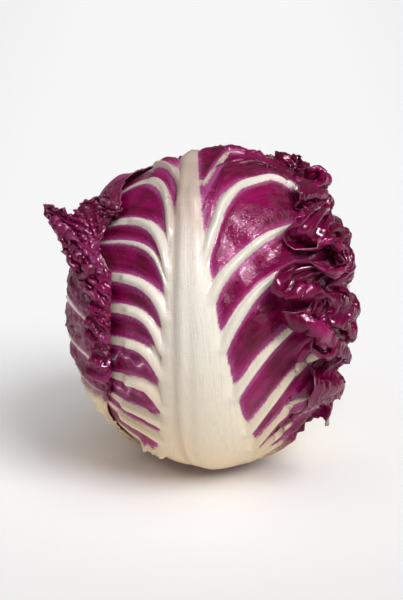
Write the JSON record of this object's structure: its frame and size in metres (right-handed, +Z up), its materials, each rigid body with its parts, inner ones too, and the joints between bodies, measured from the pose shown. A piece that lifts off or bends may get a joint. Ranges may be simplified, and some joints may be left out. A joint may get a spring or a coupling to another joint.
{
  "type": "radicchio head",
  "caption": "Round head of radicchio: wine-red wrapper leaves with broad white midribs close round a dense heart on a short cut stem.",
  "frame": {"origin": "centre of the stem's flat cut foot, on the surface that the head stands on", "axes": "+Z up from the cut stem to the crown, the broad front leaf faces -Y, +X to its right as seen from the front"},
  "size_m": [0.1295, 0.1229, 0.1315],
  "materials": {
    "cut_stem": "dry brown cut stem with a paler, moist middle",
    "heart": "tightly packed inner leaves, satin",
    "back_leaf": "waxy, half glossy red leaf blade with matt ivory ribs",
    "right_leaf": "waxy, half glossy red leaf blade with matt ivory ribs",
    "front_leaf": "waxy, half glossy red leaf blade with matt ivory ribs",
    "left_leaf": "waxy, half glossy red leaf blade with matt ivory ribs"
  },
  "bodies": {
    "root": {"cut_stem": "cut_stem", "heart": "heart", "back_leaf": "back_leaf", "right_leaf": "right_leaf", "front_leaf": "front_leaf", "left_leaf": "left_leaf"}
  },
  "joints": []
}
